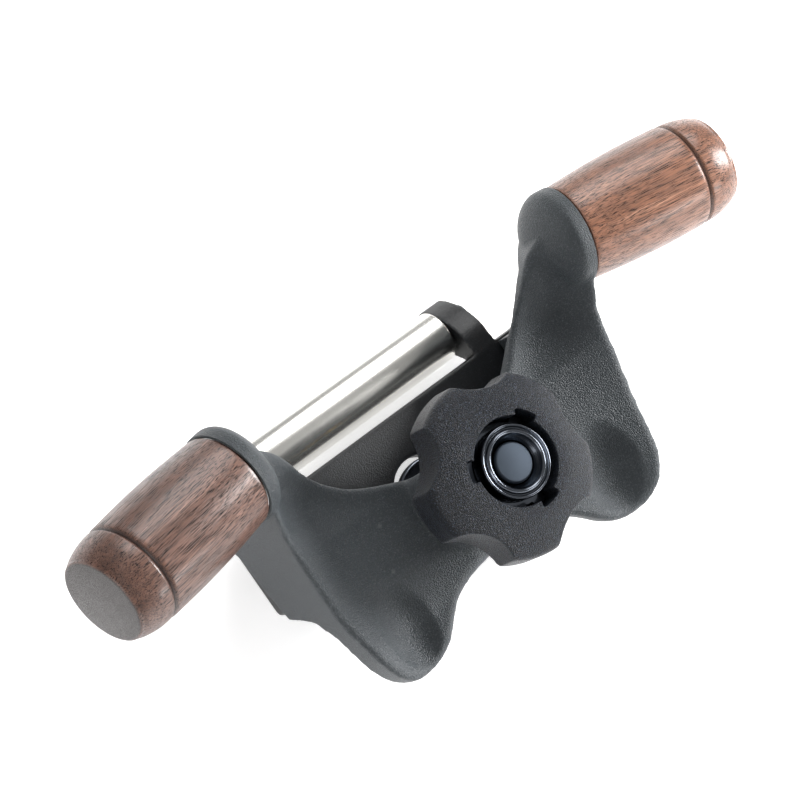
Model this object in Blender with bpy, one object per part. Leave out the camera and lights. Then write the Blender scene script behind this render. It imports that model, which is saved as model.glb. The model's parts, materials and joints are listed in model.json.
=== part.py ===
"""Two-handled honing guide: a moulded yoke with a walnut handle on each side, a bed plate with a
chrome roller behind it, and a five-lobed knob that screws a round pad down onto the blade.

The guide is drawn in its own frame: X runs from the left handle to the right one, Y runs up the
yoke towards the roller, and Z runs out along the clamp screw towards the knob. An empty named
stance then tilts the whole guide back until it stands on its roller and on the foot of its bed.
"""
import math

import bpy
import bmesh
from mathutils import Matrix, Vector

MM = 0.001
GAP = 0.3 * MM

# Handles: where the wood starts, how far the grips droop and lean forward, and their turning.
GRIP_START = Vector((58.6, 8.0, 0.0)) * MM
GRIP_DROOP = math.radians(7.1)
GRIP_LEAN = math.radians(5.4)
GRIP_LENGTH = 46.2 * MM
GRIP_GROOVE_AT = 36.6 * MM
GRIP_BORE_RADIUS = 5.0 * MM
GRIP_BORE_DEPTH = 17.6 * MM
WASHER_THICKNESS = 1.0 * MM
WASHER_RADIUS = 12.4 * MM
HUB_RADIUS = 13.4 * MM
STUD_RADIUS = 3.0 * MM
STUD_IN_HUB = 9.0 * MM
STUD_IN_WOOD = 16.0 * MM
INSERT_RADIUS = 4.7 * MM

# Yoke plate: its back face, and the heights of its rims above the bed.
PLATE_BACK = -15.5 * MM
YOKE_GRID = 3.1 * MM
YOKE_HALF = 63.7 * MM
YOKE_LOW = -63.0 * MM
YOKE_HIGH = 27.0 * MM
BOSS_RADIUS = 11.5 * MM
BOSS_TOP = 2.4 * MM
DISH_CENTRE = (37.0 * MM, -46.0 * MM)
DISH_RADIUS = 12.5 * MM
DISH_DEPTH = 3.4 * MM
CHEEK_OUTER = 58.0 * MM
CHEEK_INNER = 48.0 * MM
POST_WIDTH = 7.0 * MM
POST_HEIGHT = 8.0 * MM
POST_PLACES = (-9.5 * MM, -24.5 * MM)

# Bed plate, its round window and the two arms that carry the roller.
BED_FRONT = -30.0 * MM
BED_BACK = -35.0 * MM
BED_TOP = -4.8 * MM
BED_SHOULDER = -29.5 * MM
BED_FOOT = -38.5 * MM
BED_HALF_WIDTH = 52.0 * MM
TONGUE_HALF_WIDTH = 22.0 * MM
WINDOW_CENTRE = -25.4 * MM
WINDOW_RADIUS = 9.3 * MM
ARM_INNER = 33.6 * MM
ARM_OUTER = 40.8 * MM
ARM_EYE_RADIUS = 6.5 * MM
LAND_INNER = 14.0 * MM
LAND_OUTER = 39.5 * MM
LAND_LOW = -29.0 * MM
LAND_HIGH = -6.0 * MM
LAND_HEIGHT = 0.25 * MM
BED_SCREW_RADIUS = 1.9 * MM
BED_SCREW_HEAD = 3.6 * MM

# Roller.
ROLLER_RADIUS = 7.0 * MM
ROLLER_HALF = 32.9 * MM
ROLLER_PLACE = Vector((0.0, 4.3, -39.7)) * MM
AXLE_RADIUS = 2.0 * MM
AXLE_HALF = 43.2 * MM
BUSH_RADIUS = 4.1 * MM
BUSH_LENGTH = 10.0 * MM
CLIP_RADIUS = 4.0 * MM
CLIP_THICKNESS = 1.0 * MM

# Clamp: the screw's axis stands on the plate at CLAMP_AXIS and the knob turns around it.
CLAMP_AXIS = -28.4 * MM
SCREW_RADIUS = 4.0 * MM
BOSS_BUSH_RADIUS = 6.5 * MM
KNOB_LOBES = 5
KNOB_RADIUS = 23.6 * MM
FLUTE_RADIUS = 13.65 * MM
FLUTE_CENTRE = 33.2 * MM
KNOB_BACK = 3.2 * MM
KNOB_SHOULDER = 13.4 * MM
KNOB_CROWN = 17.5 * MM
RECESS_RADIUS = 11.4 * MM
RECESS_FLOOR = 10.0 * MM
DRIVER_THICKNESS = 2.2 * MM
NOTCH_RADIUS = 13.2 * MM
NOTCH_HALF_ANGLE = math.radians(13.0)
NOTCH_ANGLES = tuple(math.radians(a) for a in (40.0, 160.0, 280.0))
KNOB_STEPS = 90
PAD_RADIUS = 11.6 * MM
PAD_FRONT = -26.8 * MM
PAD_BACK = -29.6 * MM
PAD_COLLAR = -25.0 * MM
PAD_POCKET = -27.6 * MM
PAD_POCKET_RADIUS = 6.5 * MM
PAD_COLLAR_RADIUS = 6.6 * MM
JOURNAL_RADIUS = 3.0 * MM
CLIP_GROOVE_RADIUS = 2.4 * MM
PAD_CLIP_RADIUS = 5.6 * MM
PAD_CLIP_THICKNESS = 0.8 * MM

ROUND_STEPS = 36
SMALL_STEPS = 24

COLOURS = {
    "body": ((0.030, 0.036, 0.037), 0.55, 0.0),
    "knob": ((0.022, 0.024, 0.028), 0.45, 0.0),
    "chrome": ((0.86, 0.86, 0.85), 0.06, 1.0),
    "steel": ((0.42, 0.42, 0.42), 0.30, 1.0),
    "dark_steel": ((0.10, 0.11, 0.13), 0.22, 1.0),
    "brass": ((0.72, 0.52, 0.22), 0.30, 1.0),
    "bronze": ((0.45, 0.28, 0.14), 0.45, 1.0),
    "walnut": ((0.16, 0.070, 0.038), 0.40, 0.0),
}


def clear_scene():
    for obj in list(bpy.data.objects):
        bpy.data.objects.remove(obj, do_unlink=True)


def material(name, finish):
    colour, roughness, metallic = COLOURS[finish]
    mat = bpy.data.materials.new(name)
    mat.use_nodes = True
    shader = mat.node_tree.nodes["Principled BSDF"]
    shader.inputs["Base Color"].default_value = (*colour, 1.0)
    shader.inputs["Roughness"].default_value = roughness
    shader.inputs["Metallic"].default_value = metallic
    mat.diffuse_color = (*colour, 1.0)
    return mat


def mesh_object(name, bm, finish=None, parent=None):
    """Make an object from a bmesh, shade it smooth with sharp creases, and give it its material."""
    bmesh.ops.recalc_face_normals(bm, faces=bm.faces)
    mesh = bpy.data.meshes.new(name)
    bm.to_mesh(mesh)
    bm.free()
    mesh.shade_smooth()
    mesh.set_sharp_from_angle(angle=math.radians(35))
    obj = bpy.data.objects.new(name, mesh)
    bpy.context.collection.objects.link(obj)
    obj.parent = parent
    if finish:
        mesh.materials.append(material(name + "_finish", finish))
    return obj


def helper_object(name, bm, parent):
    """A cutter or a piece to be joined on: kept as a wire guide, never a node of its own."""
    obj = mesh_object(name, bm, parent=parent)
    obj.hide_render = True
    obj.display_type = "WIRE"
    return obj


def boolean(target, tool, operation):
    modifier = target.modifiers.new(tool.name, "BOOLEAN")
    modifier.operation = operation
    modifier.object = tool


def turned(profile, steps=ROUND_STEPS, axis="Z", centre=(0.0, 0.0, 0.0)):
    """A bmesh of a closed profile of (radius, height) points turned round an axis."""
    bm = bmesh.new()
    rings = []
    for radius, height in profile:
        if radius < 1e-9:
            rings.append([bm.verts.new((0.0, 0.0, height))])
            continue
        ring = []
        for i in range(steps):
            angle = 2 * math.pi * i / steps
            ring.append(bm.verts.new((radius * math.cos(angle), radius * math.sin(angle), height)))
        rings.append(ring)
    for first, second in zip(rings, rings[1:] + rings[:1]):
        skin(bm, first, second)
    if axis == "X":
        bmesh.ops.rotate(bm, matrix=Matrix.Rotation(math.pi / 2, 3, "Y"), verts=bm.verts)
    bmesh.ops.translate(bm, vec=Vector(centre), verts=bm.verts)
    return bm


def skin(bm, first, second):
    """Join two rings with quads, or a ring and a pole with triangles."""
    if len(first) == 1 and len(second) == 1:
        return
    count = max(len(first), len(second))
    for i in range(count):
        j = (i + 1) % count
        corners = []
        for ring, index in ((first, i), (first, j), (second, j), (second, i)):
            vert = ring[index % len(ring)]
            if vert not in corners:
                corners.append(vert)
        bm.faces.new(corners)


def rod(radius, low, high, steps=SMALL_STEPS, axis="Z", centre=(0.0, 0.0, 0.0)):
    return turned([(0.0, low), (radius, low), (radius, high), (0.0, high)], steps, axis, centre)


def ring_piece(inner, outer, low, high, steps=SMALL_STEPS, axis="Z", centre=(0.0, 0.0, 0.0)):
    return turned([(inner, low), (outer, low), (outer, high), (inner, high)], steps, axis, centre)


def block(low, high):
    bm = bmesh.new()
    bmesh.ops.create_cube(bm, size=1.0)
    size = [b - a for a, b in zip(low, high)]
    middle = [(a + b) / 2 for a, b in zip(low, high)]
    bmesh.ops.scale(bm, vec=Vector(size), verts=bm.verts)
    bmesh.ops.translate(bm, vec=Vector(middle), verts=bm.verts)
    return bm


def slab(outline, low, high, axis="Z"):
    """An outline of flat points pushed from low to high along Z, or (Y, Z) points along X."""
    bm = bmesh.new()
    if axis == "Z":
        verts = [bm.verts.new((a, b, low)) for a, b in outline]
        push = Vector((0.0, 0.0, high - low))
    else:
        verts = [bm.verts.new((low, a, b)) for a, b in outline]
        push = Vector((high - low, 0.0, 0.0))
    face = bm.faces.new(verts)
    extruded = bmesh.ops.extrude_face_region(bm, geom=[face])
    moved = [item for item in extruded["geom"] if isinstance(item, bmesh.types.BMVert)]
    bmesh.ops.translate(bm, vec=push, verts=moved)
    return bm


def arc(centre, radius, start, stop, steps):
    """Points on an arc, from start to stop degrees."""
    points = []
    for i in range(steps + 1):
        angle = math.radians(start + (stop - start) * i / steps)
        points.append((centre[0] + radius * math.cos(angle), centre[1] + radius * math.sin(angle)))
    return points


def in_metres(points):
    return [(a * MM, b * MM) for a, b in points]


def smooth_through(points, steps):
    """A Catmull-Rom curve through the points, from the first to the last."""
    curve = []
    last = len(points) - 1
    for i in range(last):
        p0 = points[max(i - 1, 0)]
        p1, p2 = points[i], points[i + 1]
        p3 = points[min(i + 2, last)]
        for k in range(steps):
            t = k / steps
            curve.append(tuple(
                0.5 * (2 * b + (c - a) * t + (2 * a - 5 * b + 4 * c - d) * t * t
                       + (3 * b - a - 3 * c + d) * t ** 3)
                for a, b, c, d in zip(p0, p1, p2, p3)))
    curve.append(points[last])
    return curve


def along(points, value):
    """Read a height off a list of (place, height) points, place falling, with straight runs."""
    if value >= points[0][0]:
        return points[0][1]
    for (a, fa), (b, fb) in zip(points, points[1:]):
        if value >= b:
            return fb + (fa - fb) * (value - b) / (a - b)
    return points[-1][1]


def eased(t):
    t = min(max(t, 0.0), 1.0)
    return t * t * (3 - 2 * t)


# ---------------------------------------------------------------- yoke

# Right half of the yoke seen from the knob side, in mm: saddle, hub, outer edge, lobe, notch.
SADDLE = [(0, -19.6), (10, -19.1), (14.8, -17.6), (23.8, -13.8), (29.4, -10.2), (35.0, -4.5),
          (39.5, 1.0), (42.9, 5.5), (45.3, 9.6), (47.3, 13.0), (50.2, 15.4), (54.0, 16.0)]
OUTER_EDGE = [(55.1, -5.3), (54.2, -13.0), (53.5, -23.0), (52.0, -37.0), (50.5, -45.0),
              (49.0, -51.0), (46.0, -56.5), (41.5, -59.6), (36.5, -60.3), (31.5, -59.2),
              (27.0, -56.6), (23.0, -52.9), (19.5, -50.2), (14.0, -47.9), (7.0, -46.5), (0, -46.2)]

# Across the yoke at a height Y, in mm: where its inner and outer edges are and how high they stand.
INNER_EDGE_X = [(22, 46), (9, 44.5), (5.5, 42.9), (1, 39.5), (-4.5, 35), (-10.2, 29.4),
                (-13.8, 23.8), (-17.6, 14.8), (-19, 10), (-46, 10), (-52, 22), (-61, 30)]
OUTER_EDGE_X = [(22, 58), (-5, 55.4), (-13, 54.2), (-23, 53.5), (-37, 52), (-45, 50.5),
                (-51, 49), (-56, 46.5), (-61, 42)]
INNER_EDGE_Z = [(22, 0), (14, -2.7), (9, -5), (5, -6.4), (-4, -10), (-61, -10.5)]
OUTER_EDGE_Z = [(22, 2), (8, 7), (-6, 3.9), (-13, 0), (-23, -2.6), (-37, -5.8), (-49, -5.5),
                (-55, -6.5), (-61, -9)]
VALLEY_DEPTH = 2.2
HUB_STRAIGHT = 3.0 * MM
HUB_CUT_RADIUS = 20.0 * MM
HUB_CUT_REACH = 12.0 * MM
HUB_LENGTH = 11.4 * MM
HUB_END_STEPS = 8
WING_BACK_FROM = -10.0 * MM
WING_BACK_TO = 5.0 * MM
WING_BACK_RISE = 9.0 * MM
INNER_ROUND = 8.0 * MM


def grip_axis(side):
    """Unit vector from the hub out along the grip, for side -1 (left) or 1 (right)."""
    flat = math.cos(GRIP_LEAN)
    return Vector((side * math.cos(GRIP_DROOP) * flat, -math.sin(GRIP_DROOP) * flat,
                   math.sin(GRIP_LEAN)))


def plate_front(x, y):
    """Front of the yoke without its hubs: rims, valley, thumb dish and the boss of the screw."""
    inner_x = along(INNER_EDGE_X, y / MM) * MM
    outer_x = along(OUTER_EDGE_X, y / MM) * MM
    inner_z = along(INNER_EDGE_Z, y / MM) * MM
    outer_z = along(OUTER_EDGE_Z, y / MM) * MM
    across = min(max((x - inner_x) / (outer_x - inner_x), 0.0), 1.0)
    height = inner_z + (outer_z - inner_z) * across * across
    height -= VALLEY_DEPTH * MM * math.sin(math.pi * across)
    off_dish = math.hypot(x - DISH_CENTRE[0], y - DISH_CENTRE[1]) / DISH_RADIUS
    if off_dish < 1.0:
        height -= DISH_DEPTH * (1.0 - off_dish ** 2) ** 1.5
    off_boss = math.hypot(x, y - CLAMP_AXIS)
    rise = 1.0 - eased((off_boss - BOSS_RADIUS) / (4.5 * MM))
    return height + (BOSS_TOP - height) * rise


def plate_back(x, y):
    """Back of the yoke: flat over the bed, and rising under the wings and along their inner edges."""
    wing = eased((y - WING_BACK_FROM) / (WING_BACK_TO - WING_BACK_FROM))
    inner_x = along(INNER_EDGE_X, y / MM) * MM
    inset = min(max(1.0 - (x - inner_x) / INNER_ROUND, 0.0), 1.0)
    back = PLATE_BACK + WING_BACK_RISE * wing * (0.35 + 0.65 * inset)
    return min(back, plate_front(x, y) - 1 * MM)


def yoke_outline():
    """The whole outline, right half then left half mirrored; the corners on the wings end in the hubs."""
    in_hub = in_metres([(56.5, 8.0), (55.4, -4.6)])
    right = in_metres(smooth_through(SADDLE, 2)) + in_hub + in_metres(smooth_through(OUTER_EDGE, 2))
    left = [(-x, y) for x, y in reversed(right[1:-1])]
    return right + left


def hub_profile():
    """Half of the hub's section along the grip: a straight barrel with an egg-shaped inner end."""
    face = -WASHER_THICKNESS - 2 * GAP
    egg = HUB_LENGTH - HUB_STRAIGHT
    points = [(0.0, face + 1.0 * MM), (HUB_RADIUS, face + 1.0 * MM)]
    for i in range(HUB_END_STEPS + 1):
        angle = 0.5 * math.pi * i / HUB_END_STEPS
        points.append((HUB_RADIUS * math.cos(angle), -HUB_STRAIGHT - egg * math.sin(angle)))
    points[-1] = (0.0, points[-1][1])
    return points


def sheet_solid(front, back, half_width, low, high, step):
    """A closed solid, the same left and right, between two height functions over a grid."""
    bm = bmesh.new()
    columns = round(2 * half_width / step)
    rows = round((high - low) / step)
    layers = []
    for height in (front, back):
        layer = []
        for j in range(rows + 1):
            y = low + (high - low) * j / rows
            row = []
            for i in range(columns + 1):
                x = -half_width + 2 * half_width * i / columns
                row.append(bm.verts.new((x, y, height(abs(x), y))))
            layer.append(row)
        layers.append(layer)
    top, bottom = layers
    for j in range(rows):
        for i in range(columns):
            bm.faces.new((top[j][i], top[j][i + 1], top[j + 1][i + 1], top[j + 1][i]))
            bm.faces.new((bottom[j][i], bottom[j + 1][i], bottom[j + 1][i + 1], bottom[j][i + 1]))
    rim_top = top[0] + [row[-1] for row in top[1:]] + top[-1][-2::-1] + [row[0] for row in top[-2:0:-1]]
    rim_bottom = (bottom[0] + [row[-1] for row in bottom[1:]] + bottom[-1][-2::-1]
                  + [row[0] for row in bottom[-2:0:-1]])
    skin(bm, rim_top, rim_bottom)
    bmesh.ops.triangulate(bm, faces=bm.faces)
    return bm


def cheek_outline():
    """Side wall seen along X, as (Y, Z) points in mm."""
    return in_metres([(4, -8), (-2, -18), (-4.8, -29.7), (-30.7, -29.7), (-32.4, -22.8),
                      (-34.5, -18.5), (-40, -15.2), (-43, -12.5), (-20, -12)])


def make_yoke(stance):
    bm = sheet_solid(plate_front, plate_back, YOKE_HALF, YOKE_LOW, YOKE_HIGH, YOKE_GRID)
    yoke = mesh_object("yoke", bm, "body", stance)
    for side in (-1, 1):
        wall = slab(cheek_outline(), side * CHEEK_INNER, side * CHEEK_OUTER, axis="X")
        boolean(yoke, helper_object(f"cheek_{side}", wall, stance), "UNION")
        for index, place in enumerate(POST_PLACES):
            inner, outer = sorted((side * (CHEEK_INNER - POST_WIDTH), side * (CHEEK_INNER + 1.0 * MM)))
            post = block((inner, place - POST_HEIGHT / 2, BED_FRONT + GAP),
                         (outer, place + POST_HEIGHT / 2, PLATE_BACK + 1.0 * MM))
            boolean(yoke, helper_object(f"post_{side}_{index}", post, stance), "UNION")
    outline = slab(yoke_outline(), -60 * MM, 40 * MM)
    boolean(yoke, helper_object("trim_outline", outline, stance), "INTERSECT")
    for side in (-1, 1):
        hub = helper_object(f"hub_{side}", turned(hub_profile()), stance)
        aim_along_grip(hub, side)
        boolean(yoke, hub, "UNION")
    for side in (-1, 1):
        for index, place in enumerate(POST_PLACES):
            centre = (side * bed_screw_x(), place, 0.0)
            hole = rod(BED_SCREW_RADIUS + GAP, BED_FRONT - 1.0 * MM, BED_FRONT + 9.0 * MM, 24, centre=centre)
            boolean(yoke, helper_object(f"post_hole_{side}_{index}", hole, stance), "DIFFERENCE")
        face = -WASHER_THICKNESS - 2 * GAP
        floor = -STUD_IN_HUB - 1.0 * MM
        socket = turned([(0.0, floor), (STUD_RADIUS + GAP, floor),
                         (STUD_RADIUS + GAP, face), (HUB_CUT_RADIUS, face),
                         (HUB_CUT_RADIUS, HUB_CUT_REACH), (0.0, HUB_CUT_REACH)], SMALL_STEPS)
        cutter = helper_object(f"hub_face_{side}", socket, stance)
        aim_along_grip(cutter, side)
        boolean(yoke, cutter, "DIFFERENCE")
    bore = rod(BOSS_BUSH_RADIUS + GAP, -30 * MM, 20 * MM, centre=(0.0, CLAMP_AXIS, 0.0))
    boolean(yoke, helper_object("bush_bore", bore, stance), "DIFFERENCE")


def bed_screw_x():
    return CHEEK_INNER - POST_WIDTH / 2


# ---------------------------------------------------------------- bed plate and roller

def bed_outline():
    """The bed seen from the knob side: a wide bar with a rounded tongue below its window."""
    corner = 2.0 * MM
    half = BED_HALF_WIDTH
    right = arc((half - corner, BED_TOP - corner), corner, 90, 0, 4)
    right += arc((half - corner, BED_SHOULDER + corner), corner, 0, -90, 4)
    fillet = 4.0 * MM
    right += arc((TONGUE_HALF_WIDTH + fillet, BED_SHOULDER - fillet), fillet, 90, 180, 4)
    right += arc((TONGUE_HALF_WIDTH - fillet, BED_FOOT + fillet), fillet, 0, -90, 4)
    left = [(-x, y) for x, y in reversed(right)]
    return right + left


def arm_outline():
    """A roller arm seen along X, as (Y, Z) points: a foot on the bed and an eye round the axle."""
    horn = in_metres([(-14.0, -34.0), (-14.0, -30.6), (-8.0, -30.4), (-4.3, -30.1), (0.9, -30.7),
                      (4.2, -32.4), (7.1, -34.7), (9.5, -38.0), (11.1, -41.2), (11.5, -43.0),
                      (10.9, -44.6), (9.3, -45.5)])
    eye = arc((ROLLER_PLACE.y, ROLLER_PLACE.z), ARM_EYE_RADIUS, -62, -175, 9)
    return horn + eye + in_metres([(-4.8, -36.5), (-14.0, -36.5)])


def make_bed(stance):
    """The bed, its two arms, and a low flat land each side of the window on which the blade lies."""
    bed = mesh_object("bed_plate", slab(bed_outline(), BED_BACK, BED_FRONT), "body", stance)
    for side in (-1, 1):
        arm = slab(arm_outline(), side * ARM_INNER, side * ARM_OUTER, axis="X")
        boolean(bed, helper_object(f"arm_{side}", arm, stance), "UNION")
        inner, outer = sorted((side * LAND_INNER, side * LAND_OUTER))
        land = block((inner, LAND_LOW, BED_FRONT - 1.0 * MM), (outer, LAND_HIGH, BED_FRONT + LAND_HEIGHT))
        boolean(bed, helper_object(f"land_{side}", land, stance), "UNION")
        for index, place in enumerate(POST_PLACES):
            centre = (side * bed_screw_x(), place, 0.0)
            profile = [(0.0, BED_BACK - 1 * MM), (BED_SCREW_HEAD + GAP, BED_BACK - 1 * MM),
                       (BED_SCREW_HEAD + GAP, BED_BACK + 0.4 * MM),
                       (BED_SCREW_RADIUS + GAP, BED_BACK + 2.3 * MM),
                       (BED_SCREW_RADIUS + GAP, BED_FRONT + 1 * MM), (0.0, BED_FRONT + 1 * MM)]
            cutter = helper_object(f"countersink_{side}_{index}", turned(profile, 24, centre=centre), stance)
            boolean(bed, cutter, "DIFFERENCE")
    window = rod(WINDOW_RADIUS, -40 * MM, -25 * MM, ROUND_STEPS, centre=(0.0, WINDOW_CENTRE, 0.0))
    boolean(bed, helper_object("window", window, stance), "DIFFERENCE")
    eye_bore = rod(AXLE_RADIUS + GAP, -60 * MM, 60 * MM, 24, axis="X", centre=ROLLER_PLACE)
    boolean(bed, helper_object("axle_bore", eye_bore, stance), "DIFFERENCE")


def make_bed_screws(stance):
    number = 0
    for side in (-1, 1):
        for place in POST_PLACES:
            number += 1
            head = BED_BACK + 0.3 * MM
            profile = [(0.0, head + 1.2 * MM), (1.3 * MM, head + 1.2 * MM), (1.3 * MM, head),
                       (BED_SCREW_HEAD, head), (BED_SCREW_RADIUS, head + 2.1 * MM),
                       (BED_SCREW_RADIUS, BED_FRONT + 8.2 * MM), (0.0, BED_FRONT + 8.6 * MM)]
            bm = turned(profile, 24, centre=(side * bed_screw_x(), place, 0.0))
            mesh_object(f"bed_screw_{number}", bm, "steel", stance)


def make_roller(stance):
    """The roller and its bushes turn on the axle, which two spring clips hold in the arms."""
    edge = 0.5 * MM
    bore = BUSH_RADIUS + GAP
    profile = [(bore, -ROLLER_HALF), (ROLLER_RADIUS - edge, -ROLLER_HALF),
               (ROLLER_RADIUS, -ROLLER_HALF + edge), (ROLLER_RADIUS, ROLLER_HALF - edge),
               (ROLLER_RADIUS - edge, ROLLER_HALF), (bore, ROLLER_HALF)]
    roller = mesh_object("roller", turned(profile, 64, axis="X"), "chrome", stance)
    roller.location = ROLLER_PLACE
    axle = mesh_object("roller_axle", rod(AXLE_RADIUS, -AXLE_HALF, AXLE_HALF, axis="X"), "steel", stance)
    axle.location = ROLLER_PLACE
    for side, name in ((-1, "left"), (1, "right")):
        outer_end = side * (ROLLER_HALF + GAP)
        inner_end = side * (ROLLER_HALF - BUSH_LENGTH)
        low, high = sorted((inner_end, outer_end))
        bush = ring_piece(AXLE_RADIUS + GAP, BUSH_RADIUS, low, high, axis="X")
        mesh_object(f"roller_bush_{name}", bush, "bronze", stance).location = ROLLER_PLACE
        start = side * (ARM_OUTER + GAP)
        low, high = sorted((start, start + side * CLIP_THICKNESS))
        clip = ring_piece(AXLE_RADIUS + GAP, CLIP_RADIUS, low, high, axis="X")
        mesh_object(f"axle_clip_{name}", clip, "steel", stance).location = ROLLER_PLACE


# ---------------------------------------------------------------- grips

def aim_along_grip(obj, side):
    """Put an object's origin where the wood starts and its Z axis along the grip."""
    obj.location = (side * GRIP_START.x, GRIP_START.y, GRIP_START.z)
    obj.rotation_mode = "QUATERNION"
    obj.rotation_quaternion = grip_axis(side).to_track_quat("Z", "Y")


def grip_profile():
    """Radius and distance from the hub along the outside of the wood, in mm."""
    groove = GRIP_GROOVE_AT / MM
    end = GRIP_LENGTH / MM
    return [(12.5, 0.0), (13.0, 0.6), (13.45, 6.0), (13.85, 13.0), (14.1, 20.0), (14.2, 27.0),
            (14.1, groove - 1.0), (13.3, groove), (13.9, groove + 1.0), (13.7, groove + 3.6),
            (13.1, end - 3.2), (12.4, end - 1.2), (11.8, end - 0.3), (11.1, end), (0.0, end)]


def make_grip(stance, side, name):
    """Turned walnut on a threaded insert, screwed up to the hub on a stud, with a steel washer."""
    wood = [(0.0, GRIP_BORE_DEPTH), (GRIP_BORE_RADIUS, GRIP_BORE_DEPTH), (GRIP_BORE_RADIUS, 0.0)]
    wood += in_metres(grip_profile())
    pieces = (
        (f"handle_{name}", turned(wood), "walnut"),
        (f"handle_washer_{name}", ring_piece(STUD_RADIUS + GAP, WASHER_RADIUS,
                                             -WASHER_THICKNESS - GAP, -GAP, ROUND_STEPS), "steel"),
        (f"handle_insert_{name}", ring_piece(STUD_RADIUS + GAP, INSERT_RADIUS, GAP,
                                             STUD_IN_WOOD + 1.0 * MM), "brass"),
        (f"handle_stud_{name}", rod(STUD_RADIUS, -STUD_IN_HUB, STUD_IN_WOOD), "steel"),
    )
    for piece_name, bm, finish in pieces:
        aim_along_grip(mesh_object(piece_name, bm, finish, stance), side)


# ---------------------------------------------------------------- clamp

def knob_radius(angle):
    """Outside radius of the lobed knob: a circle with a round scoop between each pair of lobes."""
    pitch = 2 * math.pi / KNOB_LOBES
    off = (angle + pitch / 2) % pitch - pitch / 2
    reach = FLUTE_RADIUS ** 2 - (FLUTE_CENTRE * math.sin(off)) ** 2
    if reach <= 0.0:
        return KNOB_RADIUS
    return min(KNOB_RADIUS, FLUTE_CENTRE * math.cos(off) - math.sqrt(reach))


def recess_radius(angle, plain, notched):
    """Radius of the recess in the knob's face, which three notches widen."""
    for notch in NOTCH_ANGLES:
        off = (angle - notch + math.pi) % (2 * math.pi) - math.pi
        if abs(off) < NOTCH_HALF_ANGLE:
            return notched
    return plain


def lobed_rings(rings):
    """A closed solid from rings given as (radius function, height), joined round in a loop."""
    bm = bmesh.new()
    made = []
    for radius, height in rings:
        ring = []
        for i in range(KNOB_STEPS):
            angle = 2 * math.pi * i / KNOB_STEPS
            r = radius(angle)
            ring.append(bm.verts.new((r * math.cos(angle), r * math.sin(angle), height)))
        made.append(ring)
    for first, second in zip(made, made[1:] + made[:1]):
        skin(bm, first, second)
    return bm


def make_knob(parent):
    bore = 5.0 * MM

    def recess(angle):
        return recess_radius(angle, RECESS_RADIUS, NOTCH_RADIUS)

    def dome(share):
        def radius(angle):
            edge = recess(angle)
            return edge + (knob_radius(angle) - 1.2 * MM - edge) * share
        return radius

    rings = [(lambda a: bore, KNOB_BACK), (lambda a: knob_radius(a) - 0.8 * MM, KNOB_BACK),
             (knob_radius, KNOB_BACK + 0.8 * MM), (knob_radius, KNOB_SHOULDER - 1.2 * MM)]
    for share in (1.0, 0.75, 0.5, 0.25, 0.0):
        drop = (KNOB_CROWN - KNOB_SHOULDER) * share ** 1.6
        rings.append((dome(share), KNOB_CROWN - drop))
    rings += [(recess, RECESS_FLOOR), (lambda a: bore, RECESS_FLOOR)]
    mesh_object("knob", lobed_rings(rings), "knob", parent)


def make_knob_insert(parent):
    """Three-lugged metal driver in the floor of the recess, which turns the screw with the knob."""
    low, high = RECESS_FLOOR + GAP, RECESS_FLOOR + DRIVER_THICKNESS

    def lugged(angle):
        narrow = NOTCH_HALF_ANGLE - math.radians(3.0)
        for notch in NOTCH_ANGLES:
            off = (angle - notch + math.pi) % (2 * math.pi) - math.pi
            if abs(off) < narrow:
                return NOTCH_RADIUS - 0.4 * MM
        return RECESS_RADIUS - 0.4 * MM

    inner = SCREW_RADIUS + GAP
    rings = [(lambda a: inner, low), (lugged, low), (lugged, high), (lambda a: inner, high)]
    mesh_object("knob_insert", lobed_rings(rings), "dark_steel", parent)


def make_clamp_screw(parent):
    """The spindle and its stepped round head, and the polished button pressed into the head."""
    seat = (RECESS_FLOOR + DRIVER_THICKNESS + GAP) / MM
    shoulder = (PAD_COLLAR + GAP) / MM
    pocket = PAD_POCKET / MM
    tip = pocket - 1.7
    groove_end = pocket - 1.4
    journal, groove, shank = JOURNAL_RADIUS / MM, CLIP_GROOVE_RADIUS / MM, SCREW_RADIUS / MM
    spindle = [(0.0, tip), (journal, tip), (journal, groove_end), (groove, groove_end), (groove, pocket),
               (journal, pocket), (journal, shoulder), (shank, shoulder), (shank, seat)]
    head = [(9.7, seat), (9.7, 14.6), (9.2, 15.0), (8.7, 15.0), (8.6, 17.3), (8.2, 17.8), (7.8, 17.6),
            (7.3, 15.6), (6.1, 15.3), (6.1, 14.0), (0.0, 14.0)]
    mesh_object("clamp_screw", turned(in_metres(spindle + head)), "dark_steel", parent)
    cap = [(0.0, 14.3), (5.5, 14.3), (5.8, 14.6), (5.8, 15.7), (5.4, 16.1), (0.0, 16.2)]
    mesh_object("screw_cap", turned([(r * MM, z * MM) for r, z in cap]), "steel", parent)


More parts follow.
